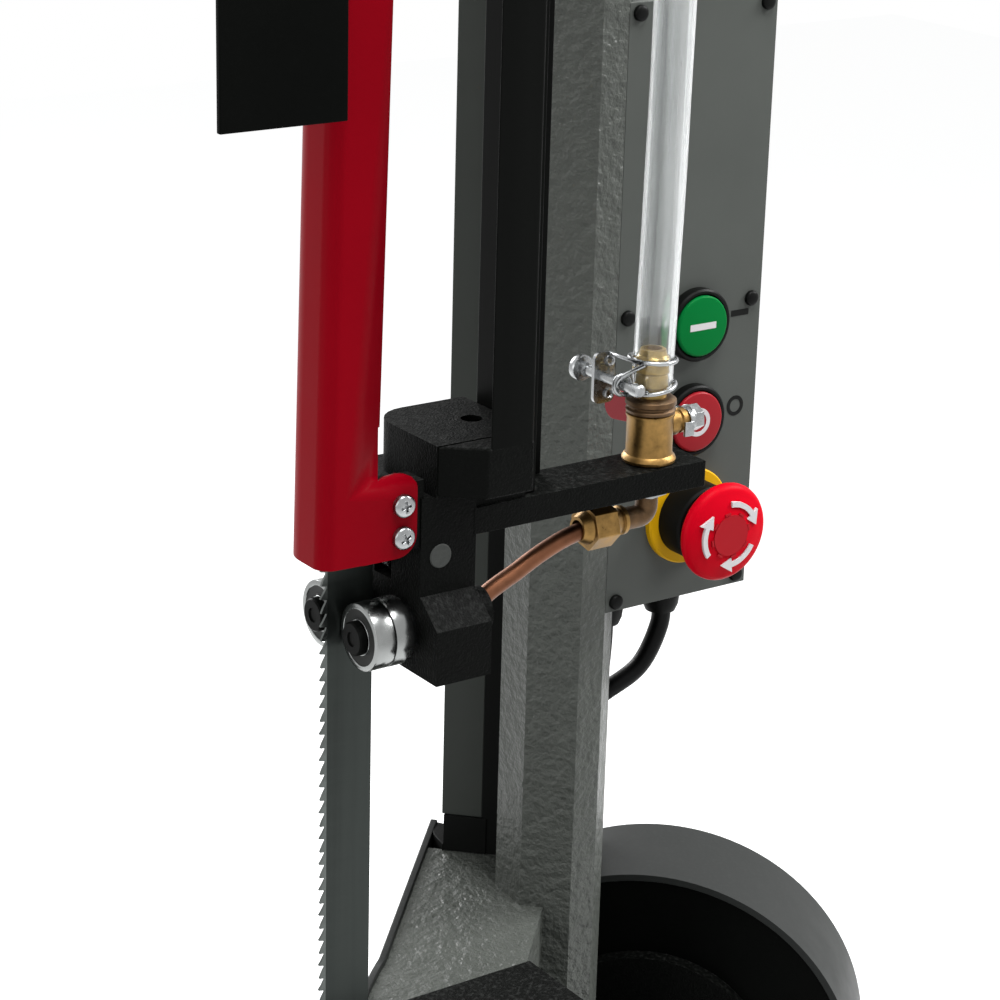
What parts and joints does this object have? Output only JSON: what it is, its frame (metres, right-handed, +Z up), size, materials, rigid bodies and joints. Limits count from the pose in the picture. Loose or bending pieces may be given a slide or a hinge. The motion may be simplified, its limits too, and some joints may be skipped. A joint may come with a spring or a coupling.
{
  "type": "mitre band saw",
  "caption": "Workshop band saw for metal with a swivelling, tilting bow, sliding blade guide, coolant line, vise and stand.",
  "frame": {"origin": "centre of the four floor bolt holes, at the floor", "axes": "+Z up, +X towards the bow's pivot, +Y to the back of the stand; the band cuts in the plane of X and Z when the mitre is at 0"},
  "size_m": [1.102, 0.48, 1.98],
  "materials": {
    "cast_grey": "hammered grey paint over cast iron",
    "dark_casting": "dark grey paint over cast iron",
    "sheet_grey": "smooth grey paint on sheet steel",
    "sheet_black": "satin black powder coat",
    "textured_black": "textured black paint on cast iron",
    "blued_steel": "blackened steel",
    "bearing_steel": "ground bearing steel",
    "band_steel": "rolled band steel",
    "wheel_iron": "turned cast iron",
    "turned_steel": "turned steel",
    "bronze": "machined bronze",
    "machined_iron": "ground grey iron",
    "red_paint": "gloss red paint on sheet steel",
    "zinc": "bright zinc plate",
    "brass": "machined brass",
    "copper": "drawn copper",
    "clear_hose": "clear soft PVC",
    "rubber_black": "moulded rubber",
    "black_plastic": "moulded black plastic",
    "green_plastic": "gloss green plastic",
    "red_plastic": "gloss red plastic",
    "tank_grey": "painted sheet steel"
  },
  "bodies": {
    "base": {"base_casting": "dark_casting", "work_table": "machined_iron", "stand": "sheet_black", "coolant_unit": "tank_grey"},
    "arm": {"swivel_arm": "dark_casting", "pivot_shaft": "turned_steel"},
    "bow": {"bow_frame": "cast_grey", "band_cover": "sheet_grey", "band_seals": "rubber_black", "lower_wheel_cover": "sheet_black", "upper_wheel_cover": "sheet_black", "saw_band": "band_steel", "gearbox": "textured_black", "motor_adapter": "sheet_black", "motor": "sheet_grey", "fan_cover": "sheet_black", "tension_rails": "textured_black", "guide_bracket": "textured_black", "splash_plate": "sheet_black", "hose_union": "brass", "fixed_guide_arm": "textured_black", "fixed_pins": "blued_steel", "control_box": "sheet_grey", "control_panel": "sheet_grey", "panel_screws": "black_plastic", "button_bezels": "black_plastic", "motor_cables": "rubber_black", "bow_handle": "black_plastic"},
    "drive": {"drive_wheel": "wheel_iron", "drive_shaft": "turned_steel", "worm_wheel": "bronze"},
    "worm": {"worm_shaft": "turned_steel"},
    "carriage": {"tension_carriage": "textured_black"},
    "idler": {"idler_wheel": "wheel_iron", "idler_bearings": "bearing_steel"},
    "tensioner": {"tension_screw": "black_plastic"},
    "guide": {"guide_bar": "blued_steel", "guide_block": "textured_black", "coolant_arm": "blued_steel", "roller_pins": "blued_steel", "band_guard": "red_paint", "guard_screws": "zinc", "coolant_valve": "brass", "hose_clamp": "zinc", "pipe_elbow": "brass", "copper_pipe": "copper", "coolant_hose": "clear_hose"},
    "front_roller": {"front_rollers": "bearing_steel"},
    "rear_roller": {"rear_rollers": "bearing_steel"},
    "thrust": {"thrust_roller": "bearing_steel"},
    "fixed_front_roller": {"fixed_rollers_front": "bearing_steel"},
    "fixed_rear_roller": {"fixed_rollers_rear": "bearing_steel"},
    "fixed_thrust": {"fixed_thrust_roller": "bearing_steel"},
    "clamp": {"clamp_lever": "black_plastic"},
    "valve_handle": {"valve_lever": "zinc"},
    "start": {"start_button": "green_plastic"},
    "stop": {"stop_button": "red_plastic"},
    "estop": {"estop_head": "red_plastic"},
    "jaw": {"moving_jaw": "machined_iron"},
    "vise": {"vise_screw": "turned_steel"}
  },
  "joints": [
    {"name": "mitre_swivel", "type": "hinge", "parent": "base", "child": "arm", "pos_m": [-0.1, -0.04, 0.6503], "axis": [0, 0, 1], "range_deg": [-45, 0]},
    {"name": "bow_swing", "type": "hinge", "parent": "arm", "child": "bow", "pos_m": [0.3, 0.04325, 0.815], "axis": [0, 1, 0], "range_deg": [-90, 0]},
    {"name": "drive_spin", "type": "hinge", "parent": "bow", "child": "drive", "pos_m": [0.30251, 0.04076, 1.005], "axis": [-0.7071, 0.7071, 0], "continuous": true},
    {"name": "worm_spin", "type": "hinge", "parent": "bow", "child": "worm", "pos_m": [0.34918, -0.00591, 1.041], "axis": [0.7071, 0.7071, 0], "continuous": true},
    {"name": "tension_turn", "type": "hinge", "parent": "bow", "child": "tensioner", "pos_m": [0.32511, 0.01816, 1.805], "axis": [0, 0, 1], "range_deg": [0, 2161]},
    {"name": "tension_slide", "type": "slide", "parent": "bow", "child": "carriage", "axis": [0, 0, 1], "range_m": [-0.012, 0]},
    {"name": "idler_spin", "type": "hinge", "parent": "carriage", "child": "idler", "pos_m": [0.30251, 0.04076, 1.805], "axis": [-0.7071, 0.7071, 0], "continuous": true},
    {"name": "guide_slide", "type": "slide", "parent": "bow", "child": "guide", "axis": [0, 0, 1], "range_m": [0, 0.08], "deforming": ["coolant_hose"]},
    {"name": "front_roller_spin", "type": "hinge", "parent": "guide", "child": "front_roller", "pos_m": [0.21, -0.05175, 1.35], "axis": [1, 0, 0], "continuous": true},
    {"name": "rear_roller_spin", "type": "hinge", "parent": "guide", "child": "rear_roller", "pos_m": [0.21, -0.02825, 1.35], "axis": [1, 0, 0], "continuous": true},
    {"name": "thrust_spin", "type": "hinge", "parent": "guide", "child": "thrust", "pos_m": [0.2333, -0.04, 1.376], "axis": [0, 1, 0], "continuous": true},
    {"name": "fixed_front_spin", "type": "hinge", "parent": "bow", "child": "fixed_front_roller", "pos_m": [0.21, -0.05175, 1.178], "axis": [1, 0, 0], "continuous": true},
    {"name": "fixed_rear_spin", "type": "hinge", "parent": "bow", "child": "fixed_rear_roller", "pos_m": [0.21, -0.02825, 1.178], "axis": [1, 0, 0], "continuous": true},
    {"name": "fixed_thrust_spin", "type": "hinge", "parent": "bow", "child": "fixed_thrust", "pos_m": [0.2333, -0.04, 1.152], "axis": [0, 1, 0], "continuous": true},
    {"name": "clamp_turn", "type": "hinge", "parent": "bow", "child": "clamp", "pos_m": [0.276, -0.08175, 1.6925], "axis": [0, 1, 0], "range_deg": [-60, 30]},
    {"name": "valve_turn", "type": "hinge", "parent": "guide", "child": "valve_handle", "pos_m": [0.3365, -0.05175, 1.4014], "axis": [1, 0, 0], "range_deg": [0, 90]},
    {"name": "start_push", "type": "slide", "parent": "bow", "child": "start", "axis": [0, 1, 0], "range_m": [0, 0.003], "stiffness_N_per_m": 400},
    {"name": "stop_push", "type": "slide", "parent": "bow", "child": "stop", "axis": [0, 1, 0], "range_m": [0, 0.003], "stiffness_N_per_m": 400},
    {"name": "estop_push", "type": "slide", "parent": "bow", "child": "estop", "axis": [0, 1, 0], "range_m": [0, 0.004], "stiffness_N_per_m": 900},
    {"name": "vise_turn", "type": "hinge", "parent": "jaw", "child": "vise", "pos_m": [-0.26, -0.124, 0.744], "axis": [1, 0, 0], "range_deg": [-2640, 2610]},
    {"name": "jaw_slide", "type": "slide", "parent": "base", "child": "jaw", "axis": [1, 0, 0], "range_m": [-0.09, 0.088]}
  ],
  "couplings": [
    {"joint": "idler_spin", "follows": "drive_spin", "ratio": 1},
    {"joint": "worm_spin", "follows": "drive_spin", "ratio": 25},
    {"joint": "tension_turn", "follows": "tension_slide", "rad_per_m": -3141.6},
    {"joint": "jaw_slide", "follows": "vise_turn", "m_per_rad": 0.0019099}
  ]
}
